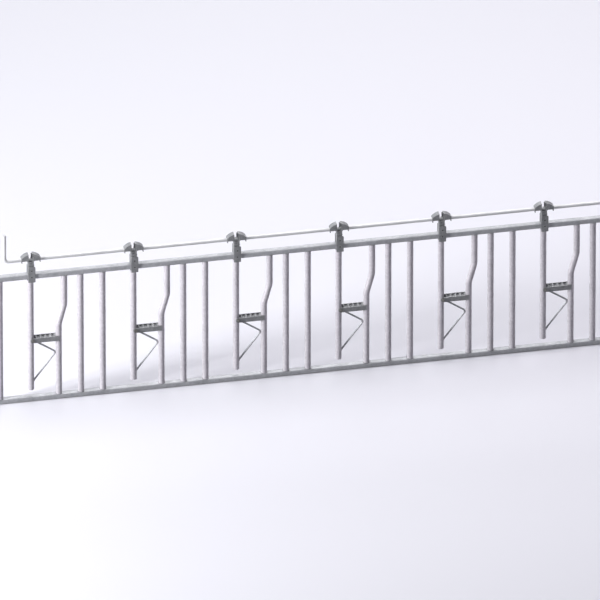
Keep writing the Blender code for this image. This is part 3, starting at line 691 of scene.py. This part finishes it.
def build_frame():
    """Rails, posts and the welds between them."""
    outer = rounded_box(RAIL_DEPTH, RAIL_HEIGHT, RAIL_CORNER)
    inner = rounded_box(
        RAIL_DEPTH - 2 * RAIL_WALL, RAIL_HEIGHT - 2 * RAIL_WALL, RAIL_CORNER - RAIL_WALL)
    rail = hollow("rail", "X", -RAIL_HALF_LENGTH, RAIL_HALF_LENGTH, outer, inner)
    for name, height in (("bottom_rail", 0.0), ("top_rail", TOP_RAIL_UNDERSIDE)):
        lifted = shifted(rail, (0, 0, height + RAIL_HEIGHT / 2))
        show(name + "_tube", lifted, RAIL_ZINC, "panel", [name])
    straight = [FIRST_POST_X, -FIRST_POST_X]
    straight += [x + INNER_POST_REACH for x in BAR_X]
    straight += [FIRST_POST_X + k * PLACE_PITCH for k in range(1, PLACES)]
    posts = ["left_end_post", "right_end_post"] + numbered("inner_post", INNER_POSTS)
    stand("straight_posts", straight_post(), straight, TUBE_ZINC_PAINTED_HIGHLIGHT, posts)
    stand("bent_posts", bent_post(), BAR_X, TUBE_ZINC_PAINTED_HIGHLIGHT, numbered("bent_post"))
    paths = post_weld_paths(straight)
    for x in BAR_X:
        foot, _ = post_weld_paths([x + BENT_POST_REACH])
        _, top = post_weld_paths([x + BENT_POST_REACH + BENT_POST_JOG])
        paths += [foot, top]
    weld("post_welds", paths, 0.0042, "panel")


# Pivot bracket and bolt

def arm_plate():
    """Arm plate of the bracket, round about the pivot and square at the post."""
    end = BENT_POST_REACH + 0.0007 - ARM_CORNER
    outline = arc((PIVOT_X, PIVOT_Z), ARM_HALF, 90, 270, 24)
    outline += arc((end, PIVOT_Z - ARM_HALF + ARM_CORNER), ARM_CORNER, 270, 360, 2)
    outline += arc((end, PIVOT_Z + ARM_HALF - ARM_CORNER), ARM_CORNER, 0, 90, 2)
    hole = circle(BOLT_HOLE_RADIUS, 32, (PIVOT_X, PIVOT_Z))
    return cut_plate("arm", "Y", ARM_INNER, ARM_OUTER, outline, [hole], 0.0006)


def grip_strip():
    """Corrugated strip between the arms: four smooth waves."""
    start, end = PIVOT_X + STRIP_START, BENT_POST_REACH - TUBE_RADIUS - WELD_GAP
    middle = PIVOT_Z + ARM_HALF - STRIP_BELOW_ARM - STRIP_SWAY
    steps = 96
    upper, lower = [], []
    for step in range(steps + 1):
        along = start + (end - start) * step / steps
        turn = 2 * math.pi * STRIP_WAVES * step / steps
        height = middle + STRIP_SWAY * math.cos(turn)
        upper.append((along, height))
        lower.append((along, height - STRIP_THICKNESS))
    half = ARM_INNER + 0.0004
    rings = [[(x, y, z) for x, z in upper + lower[::-1]] for y in (-half, half)]
    return loft("strip", rings)


def bracket_weld_paths():
    """Where the upper and lower edges of the arms meet the bent post."""
    paths = []
    start, edge = BENT_POST_REACH - 0.015, ARM_HALF + 0.0003
    for side in (-1, 1):
        y = side * (TUBE_RADIUS + 0.0022)
        for z in (PIVOT_Z + edge, PIVOT_Z - edge):
            paths.append([(start + 0.002 * step, y, z) for step in range(8)])
    return paths


def hexagon_ring(across_flats, turn=0.0, share=0.0):
    """Hexagon of 48 points, drawn towards its inner circle by a share for a chamfered corner."""
    points = []
    for step in range(48):
        angle = 2 * math.pi * step / 48 + turn
        flat = math.pi / 6 - (angle - turn) % (math.pi / 3)
        edge = across_flats / 2 / math.cos(flat)
        radius = edge + (across_flats / 2 - edge) * share
        points.append((radius * math.cos(angle), radius * math.sin(angle)))
    return points


def dressed_bolt():
    """Pivot bolt: chamfered head, washers, nut and the bolt's end, about its own axis."""
    face = ARM_OUTER + 0.0001
    seat = face + 0.0014
    shank, thread_end, crown = circle(BOLT_RADIUS, 48), circle(0.0053, 48), circle(0.0078, 48)
    washer, washer_edge = circle(0.0115, 48), circle(0.0110, 48)
    head, head_worn = hexagon_ring(HEXAGON_FLATS), hexagon_ring(HEXAGON_FLATS, share=1.0)
    nut_turn = 0.3
    nut = hexagon_ring(HEXAGON_FLATS, nut_turn)
    nut_worn = hexagon_ring(HEXAGON_FLATS, nut_turn, 1.0)
    sections = [
        (-0.0352, crown), (-0.0352, head_worn), (-0.0340, head), (-seat, head),
        (-seat, washer_edge), (-(face + 0.0012), washer), (-(face + 0.0002), washer),
        (-face, washer_edge), (-face, shank), (face, shank), (face, washer_edge),
        (face + 0.0002, washer), (face + 0.0012, washer), (seat, washer_edge),
        (seat, nut_worn), (face + 0.0020, nut), (0.0332, nut), (0.0340, nut_worn),
        (0.0340, shank), (0.0349, shank), (0.0353, thread_end),
    ]
    return turned("pivot_bolt", "Y", sections)


def build_brackets():
    """Brackets with their strips, bolts and welds."""
    arm = arm_plate()
    bracket = together("bracket", [arm, mirrored(arm), grip_strip()])
    stand("pivot_brackets", bracket, BAR_X, PLATE_ZINC_PAINTED_SHADE, numbered("pivot_bracket"))
    bolt = shifted(dressed_bolt(), (PIVOT_X, 0, PIVOT_Z))
    stand("pivot_bolts", bolt, BAR_X, BOLT_ZINC, numbered("pivot_bolt"))
    weld("bracket_welds", at_places(bracket_weld_paths()), 0.0036, "panel")


# Latch head

def web_outline():
    """Front view of a latch head: a slotted round hood with an ear at each tip, and a stem."""
    slot_turn = math.degrees(math.acos(SLOT_HALF / HEAD_RADIUS))
    tip_turn = math.degrees(math.acos(HEAD_HALF / HEAD_RADIUS))
    ear_inside = HEAD_HALF - RIM_THICKNESS
    slot_corner = (SLOT_HALF - SLOT_CORNER, SLOT_FOOT_Z + SLOT_CORNER)
    half = arc(slot_corner, SLOT_CORNER, 270, 360, 8)
    half += arc((0.0, HEAD_ARC_Z), HEAD_RADIUS, slot_turn, tip_turn, 28)
    half += [(HEAD_HALF, EAR_FOOT_Z), (ear_inside, EAR_FOOT_Z), (ear_inside, WING_FOOT_Z)]
    fillet = (STEM_HALF + STEM_FILLET, WING_FOOT_Z - STEM_FILLET)
    half += arc(fillet, STEM_FILLET, 90, 180, 8)
    half += arc((0.0, STEM_ARC_Z), STEM_HALF, 0, -90, 16)
    outline = [(HEAD_X - across, height) for across, height in half]
    return outline + [(HEAD_X + across, height) for across, height in reversed(half[:-1])]


def rim(sign):
    """Curved rim over one wing, bent down into the ear that the control rod runs through."""
    setback = 0.0002
    outer, inner = HEAD_RADIUS - setback, HEAD_RADIUS - RIM_THICKNESS
    tip, inside = HEAD_HALF - setback, HEAD_HALF - RIM_THICKNESS
    slot = SLOT_HALF + setback
    half = arc((0.0, HEAD_ARC_Z), outer, math.degrees(math.acos(tip / outer)),
               math.degrees(math.acos(slot / outer)), 28)
    half += arc((0.0, HEAD_ARC_Z), inner, math.degrees(math.acos(slot / inner)),
                math.degrees(math.acos(inside / inner)), 28)
    half += [(inside, EAR_FOOT_Z + setback), (tip, EAR_FOOT_Z + setback)]
    outline = [(HEAD_X + sign * across, height) for across, height in half[::sign]]
    depth = WEB_INNER + 0.0006
    strip = cut_plate("rim", "Y", -depth, depth, outline, (), 0.0003)
    hole = circle(EAR_BORE_RADIUS, 48, (0.0, ROD_Z))
    bore = turned("bore", "X", (
        (HEAD_X + sign * (HEAD_HALF - 0.010), hole), (HEAD_X + sign * (HEAD_HALF + 0.003), hole)))
    return cut(strip, bore)


def latch_head():
    """Latch head: two webs, two rims, a pillar with its foot, the guide and the spacer tube."""
    bore = circle(SPACER_BORE_RADIUS, 48, (HEAD_X, SPACER_Z))
    web = cut_plate("web", "Y", WEB_INNER, WEB_OUTER, web_outline(), [bore], 0.0006)
    left = HEAD_X - STEM_HALF + 0.0005
    foot = TOP_RAIL_TOP + WELD_GAP
    post = [
        (left, foot), (left + 0.030, foot), (left + 0.030, foot + 0.005),
        (left + 0.0115, foot + 0.005), (left + 0.0085, foot + 0.0062),
        (left + 0.0075, foot + 0.009), (left + 0.0075, UNDER_ROD_Z), (left, UNDER_ROD_Z),
    ]
    pillar = cut_plate("pillar", "Y", -WEB_INNER - 0.0005, WEB_INNER + 0.0005, post, (), 0.0004)
    guide_left = DOG_RIGHT + 0.0004
    guide_box = [(guide_left, SPACER_Z), (guide_left + 0.002, SPACER_Z),
                 (guide_left + 0.002, UNDER_ROD_Z), (guide_left, UNDER_ROD_Z)]
    guide = cut_plate("guide", "Y", -WEB_INNER - 0.0003, WEB_INNER + 0.0003, guide_box, (), 0.0003)
    spacer = hollow("spacer", "Y", -WEB_INNER - 0.0005, WEB_INNER + 0.0005,
                    circle(SPACER_RADIUS, 48, (HEAD_X, SPACER_Z)), bore)
    return together("latch_head", [web, mirrored(web), rim(1), rim(-1), pillar, guide, spacer])


def head_weld_paths():
    """Welds of a head's foot to the rail and of its webs to the pillar."""
    left = HEAD_X - STEM_HALF + 0.0005
    foot = TOP_RAIL_TOP + 0.0012
    paths = []
    for side in (-1, 1):
        y = side * (WEB_INNER - 0.001)
        paths.append([(left + 0.002 + 0.0025 * step, y, foot) for step in range(11)])
        paths.append([(left - 0.0008, side * WEB_INNER, SPACER_Z - 0.004 + 0.0022 * step)
                      for step in range(7)])
    paths.append([(left - 0.0006, -0.0155 + 0.0031 * step, foot) for step in range(11)])
    return paths


def build_heads():
    """Latch heads and their welds."""
    stand("latch_heads", latch_head(), BAR_X, PLATE_ZINC_PAINTED_SHADE, numbered("latch_head"))
    weld("latch_head_welds", at_places(head_weld_paths()), 0.0030, "panel")


# Swinging yoke

def v_rod_path():
    """Centre line of the V rod, from the bar's side out to the bent post and back."""
    seat = TUBE_RADIUS - 0.001
    upper = Vector((seat, 0, PIVOT_Z - V_ROD_START))
    lower = Vector((seat, 0, PIVOT_Z - V_ROD_END))
    reach = BENT_POST_REACH - TUBE_RADIUS - 0.0004 - V_ROD_RADIUS
    corner = Vector((reach, 0, PIVOT_Z - V_ROD_CORNER))
    # The bend cuts the corner short, so the corner moves out until the bend reaches far enough
    for _ in range(6):
        path = bent_path([upper, corner, lower], V_ROD_BEND_RADIUS, 24)
        corner.x += reach - max(point.x for point, _ in path)
    return bent_path([upper, corner, lower], V_ROD_BEND_RADIUS, 24)


def v_rod():
    """V rod, a round bar whose ends are cut to the swing bar's side."""
    path = v_rod_path()
    rings = [swept_ring(station, circle(V_ROD_RADIUS, 32)) for station in path]
    seat = TUBE_RADIUS - 0.0008
    for ring, direction in ((rings[0], path[0][1]), (rings[-1], path[-1][1])):
        for index, point in enumerate(ring):
            surface = math.sqrt(seat ** 2 - point.y ** 2)
            ring[index] = point + direction * ((surface - point.x) / direction.x)
    return loft("v_rod", rings)


def swing_bar():
    """Swing bar, round tube with the pivot's cross hole."""
    bar = hollow("bar", "Z", BAR_FOOT, BAR_TOP,
                 circle(TUBE_RADIUS, 64), circle(TUBE_RADIUS - TUBE_WALL, 64))
    hole = circle(BOLT_HOLE_RADIUS, 32, (PIVOT_X, PIVOT_Z))
    return cut(bar, turned("drill", "Y", ((-0.03, hole), (0.03, hole))))


def oblique_ring(station, direction, reach):
    """Bead round a slanting bar where it enters the swing bar's round side."""
    points = []
    for u, v in circle(reach, 24) + [(reach, 0.0)]:
        point = swept_ring((station, direction), [(u, v)])[0]
        surface = math.sqrt((TUBE_RADIUS + 0.0005) ** 2 - point.y ** 2)
        points.append(point + direction * ((surface - point.x) / direction.x))
    return points


def fork():
    """Fork: two plates with round shoulders and the bridge; the strike pin and studs are made apart,
    in fork_pins.
    """
    left, right = FORK_X - FORK_HALF, FORK_X + FORK_HALF
    toe, shoulder = FORK_FOOT_CORNER, FORK_SHOULDER
    foot, top = FORK_FOOT_Z + toe, FORK_TOP_Z - shoulder
    outline = arc((right - toe, foot), toe, 270, 360, 6)
    outline += arc((right - shoulder, top), shoulder, 0, 90, 8)
    outline += arc((left + shoulder, top), shoulder, 90, 180, 8)
    outline += arc((left + toe, foot), toe, 180, 270, 6)
    side = cut_plate("side", "Y", FORK_INNER, FORK_OUTER, outline, (), 0.0007)
    deck = [(left + 0.001, BRIDGE_FOOT), (right - 0.001, BRIDGE_FOOT),
            (right - 0.001, BRIDGE_TOP), (left + 0.001, BRIDGE_TOP)]
    bridge = cut_plate("bridge", "Y", -FORK_INNER - 0.0005, FORK_INNER + 0.0005, deck, (), 0.0005)
    return together("fork", [side, mirrored(side), bridge])


def fork_pins():
    """Strike pin and rubbing studs, peened over on the fork's outer faces."""
    tip = FORK_OUTER + 0.0007
    peg = [(tip, 0.0022), (tip - 0.0002, 0.0040), (FORK_OUTER - 0.0002, 0.0046),
           (FORK_INNER + 0.0004, 0.00425)]
    strike = [(-along, radius) for along, radius in peg]
    strike += [(-(FORK_INNER + 0.0004), PIN_RADIUS), (FORK_INNER + 0.0004, PIN_RADIUS)]
    strike += [(along, radius) for along, radius in reversed(peg)]
    strike_pin = turned("strike_pin", "Y", [(along, circle(radius, 40, (FORK_X, STRIKE_PIN_Z)))
                                            for along, radius in strike])
    pad = [(RAIL_DEPTH / 2 + 0.0003, STUD_RADIUS - 0.0006), (RAIL_DEPTH / 2 + 0.0007, STUD_RADIUS),
           (FORK_INNER + 0.0004, STUD_RADIUS)]
    pad += [(along, radius) for along, radius in reversed(peg)]
    stud = turned("stud", "Y", [(along, circle(radius, 40, (FORK_X, STUD_Z)))
                                for along, radius in pad])
    return together("pins", [strike_pin, stud, mirrored(stud)])


def yoke_weld_paths():
    """Welds of one yoke: bar to bridge, bridge to plates and V rod to bar."""
    paths = [ring_path(TUBE_RADIUS + 0.0005, BAR_TOP - 0.0004, 0.0)]
    for side in (-1, 1):
        y = side * (FORK_INNER - 0.0005)
        for height in (BRIDGE_TOP + 0.0003, BRIDGE_FOOT - 0.0003):
            paths.append([(FORK_X - 0.021 + 0.0042 * step, y, height) for step in range(11)])
    line = v_rod_path()
    for station, direction in (line[0], (line[-1][0], -line[-1][1])):
        paths.append(oblique_ring(station, direction, 0.0066))
    return paths


def build_yokes():
    """The six swinging yokes."""
    bar, rod, stirrup, pins = swing_bar(), v_rod(), fork(), fork_pins()
    paths = yoke_weld_paths()
    for k, x in enumerate(BAR_X):
        place, body = (x, 0, 0), f"yoke_{k + 1}"
        show(f"swing_bar_{k + 1}_tube", shifted(bar, place), TUBE_ZINC_PAINTED_HIGHLIGHT, body,
             [f"swing_bar_{k + 1}"])
        show(f"v_rod_{k + 1}_bar", shifted(rod, place), ROD_ZINC, body)
        show(f"fork_{k + 1}_plates", shifted(stirrup, place), PLATE_ZINC_PAINTED_SHADE, body,
             [f"fork_{k + 1}"])
        show(f"fork_{k + 1}_pins", shifted(pins, place), PIN_STEEL, body)
        weld(f"yoke_{k + 1}_welds", at_places(paths, [x]), 0.0034, body)


# Locking gear

def latch_dog():
    """Latch dog: drop plate with the rod's slot, a crossbar and a ramped nose."""
    foot, slot_foot = DOG_FOOT_Z, ROD_Z - DOG_SLOT_HALF
    slot_top = ROD_Z + DOG_SLOT_HALF + DOG_TRAVEL
    top = slot_top + DOG_TOP_WALL
    outer = rounded_box(2 * DOG_HALF_DEPTH, top - foot, 0.003)
    outer = [(u, v + (top + foot) / 2) for u, v in outer]
    inner = rounded_box(2 * DOG_SLOT_HALF, slot_top - slot_foot, 0.0015, 4)
    inner = [(u, v + (slot_top + slot_foot) / 2) for u, v in inner]
    drop_plate = cut_plate("drop_plate", "X", DOG_LEFT, DOG_RIGHT, outer, [inner], 0.0004)
    crossbar_z = slot_top + CROSSBAR_RADIUS
    crossbar = turned("crossbar", "X", [
        (along, circle(radius, 24, (0.0, crossbar_z))) for along, radius in (
            (FINGER_LEFT - 0.001, CROSSBAR_RADIUS - 0.0006),
            (FINGER_LEFT - 0.0005, CROSSBAR_RADIUS), (DOG_LEFT + 0.001, CROSSBAR_RADIUS))])
    ramp_outline = [(DOG_LEFT + 0.001, foot + 0.0005), (DOG_RIGHT + 0.0085, foot + 0.020),
                    (DOG_RIGHT - 0.001, foot + 0.0285), (DOG_LEFT + 0.001, foot + 0.020)]
    nose = cut_plate("nose", "Y", -0.012, 0.012, ramp_outline, (), 0.0005)
    return together("latch_dog", [drop_plate, crossbar, nose])


def lifting_finger():
    """Finger on the control rod, with a round tip."""
    foot = ROD_Z + 0.0112
    outline = [(-FINGER_HALF, foot), (FINGER_HALF, foot)]
    outline += arc((0.0, ROD_Z + FINGER_REACH - FINGER_HALF), FINGER_HALF, 0, 180, 14)
    return cut_plate("finger", "X", FINGER_LEFT, FINGER_RIGHT, outline, (), 0.0004)


def rod_cap(name, axis):
    """Cap pressed into the control rod: a plug in the bore and a domed disc over its end."""
    profile = ((-0.014, 0.0096), (-0.013, 0.0102), (0.0, 0.0102), (0.0, 0.0122), (0.0003, 0.0125),
               (0.0012, 0.0124), (0.0018, 0.0112), (0.0020, 0.0090))
    return turned(name, axis, [(WELD_GAP + along, circle(radius, 48)) for along, radius in profile])


def build_locking_gear():
    """Control rod, its fingers, caps and welds, and the six dogs."""
    rod_end, lever_foot = Vector((ROD_END_X, 0, ROD_Z)), Vector((LEVER_X, 0, ROD_Z))
    lever_top = Vector((LEVER_X, 0, ROD_Z + LEVER_HEIGHT))
    stations = bent_path([rod_end, lever_foot, lever_top], LEVER_BEND_RADIUS, 16)
    rod = bent_tube("control_rod", stations, ROD_RADIUS, ROD_WALL, 48)
    show("control_rod_tube", rod, CONTROL_ROD_SCUFFS_AND_HIGHLIGHT, "control_rod", ["control_rod"])
    finger = lifting_finger()
    fingers = together("fingers", [shifted(finger, (x, 0, 0)) for x in BAR_X])
    show("lifting_fingers", fingers, PLATE_ZINC_PAINTED_SHADE, "control_rod")
    for node_name, axis, place in (("lever_cap", "Z", lever_top), ("rod_end_cap", "X", rod_end)):
        name = node_name + "_disc"
        cap = shifted(rod_cap(name, axis), place)
        show(name, cap, CAP_ZINC, "control_rod", [node_name])
    paths = []
    for x in BAR_X:
        for side in (-1, 1):
            paths.append([(x + FINGER_LEFT + 0.001 * step, side * 0.0045, ROD_Z + 0.0119)
                          for step in range(8)])
    weld("finger_welds", paths, 0.0022, "control_rod")
    dog = latch_dog()
    for k, x in enumerate(BAR_X):
        show(f"latch_dog_{k + 1}_plate", shifted(dog, (x, 0, 0)), PLATE_ZINC_PAINTED_SHADE, f"dog_{k + 1}",
             [f"latch_dog_{k + 1}"])


# Studio

def seen_share(tree):
    """1 for rays that see a surface, straight on, mirrored or through; 0 for its bounced light."""
    ray = node(tree, "ShaderNodeLightPath").outputs
    seen = node(tree, "ShaderNodeMath", {"operation": "MAXIMUM"},
                _0=ray["Is Camera Ray"], _1=ray["Is Glossy Ray"])
    seen = node(tree, "ShaderNodeMath", {"operation": "MAXIMUM"},
                _0=seen.outputs["Value"], _1=ray["Is Transmission Ray"])
    return seen.outputs["Value"]


def pale_floor():
    """Wide pale floor that keeps the panel's soft shadow. It is seen near white, straight on and
    in reflections, and throws less light back up at the panel than a white floor would."""
    material = bpy.data.materials.new("pale_studio_floor")
    material.use_nodes = True
    tree = material.node_tree
    shader = tree.nodes["Principled BSDF"]
    tone = node(tree, "ShaderNodeMix", {"data_type": "RGBA"}, Factor=seen_share(tree),
                _6=linear("#58585C"), _7=linear("#E6E6EE"))
    tree.links.new(tone.outputs[2], shader.inputs["Base Color"])
    shader.inputs["Roughness"].default_value = 0.9
    shader.inputs["Specular IOR Level"].default_value = 0.0
    mesh = bpy.data.meshes.new("floor")
    reach = 30.0
    mesh.from_pydata([(-reach, -reach, -0.001), (reach, -reach, -0.001), (reach, reach, -0.001),
                      (-reach, reach, -0.001)], [], [(0, 1, 2, 3)])
    mesh.materials.append(material)
    floor = bpy.data.objects.new("studio_floor", mesh)
    bpy.context.scene.collection.objects.link(floor)


def outwards(azimuth, elevation):
    """Direction from the panel to a viewer or lamp, from its azimuth and elevation in degrees."""
    turn, rise = math.radians(azimuth), math.radians(elevation)
    return Vector((math.sin(turn) * math.cos(rise), -math.cos(turn) * math.cos(rise),
                   math.sin(rise)))


def area_light(name, azimuth, elevation, distance, size, level, colour="#FFFFFF"):
    """Soft box aimed at the panel; a level of 1 alone renders a facing colour as written."""
    lamp = bpy.data.lights.new(name, "AREA")
    lamp.shape = "RECTANGLE"
    lamp.size, lamp.size_y = size
    lamp.energy = level * math.pi ** 2 * distance ** 2
    lamp.color = linear(colour)[:3]
    light = bpy.data.objects.new(name, lamp)
    away = outwards(azimuth, elevation)
    light.location = Vector(LAMP_TARGET) + away * distance
    light.rotation_euler = (-away).to_track_quat("-Z", "Y").to_euler()
    bpy.context.scene.collection.objects.link(light)


def build_studio():
    """Pale floor, plain world, soft boxes and the camera of the photograph."""
    pale_floor()
    world = bpy.data.worlds.new("studio_world")
    world.use_nodes = True
    background = world.node_tree.nodes["Background"]
    background.inputs["Color"].default_value = linear("#F2F4FA")
    # Seen bright, but lighting the panel only a little, so that its shaded sides stay grey
    strength = node(world.node_tree, "ShaderNodeMapRange", Value=seen_share(world.node_tree),
                    To_Min=0.15, To_Max=0.9)
    world.node_tree.links.new(strength.outputs["Result"], background.inputs["Strength"])
    bpy.context.scene.world = world
    area_light("soft_box_left", -76.0, 14.0, 12.0, (2.0, 4.0), 1.40)
    area_light("soft_box_above", 169.0, 75.0, 10.0, (8.0, 5.0), 0.58)
    area_light("soft_box_right", 92.0, 20.0, 12.0, (2.5, 4.0), 0.30, "#FAF0F8")
    area_light("soft_box_behind", 169.0, 32.0, 14.0, (8.0, 3.0), 0.24)

    # A very long lens from far away shows the panel as straight as the photograph does
    lens = bpy.data.cameras.new("photo_camera")
    lens.lens = 1500.0
    lens.sensor_width = 36.0
    lens.clip_end = 1000.0
    camera = bpy.data.objects.new("photo_camera", lens)
    azimuth, elevation = PHOTO_VIEW
    distance = PHOTO_WIDTH * lens.lens / lens.sensor_width
    camera.location = Vector(PHOTO_MIDDLE) + outwards(azimuth, elevation) * distance
    camera.rotation_euler = (math.radians(90 - elevation), 0.0, math.radians(azimuth))
    bpy.context.scene.collection.objects.link(camera)
    bpy.context.scene.camera = camera
    bpy.context.scene.view_settings.view_transform = "Standard"


build_frame()
build_brackets()
build_heads()
build_yokes()
build_locking_gear()
build_studio()
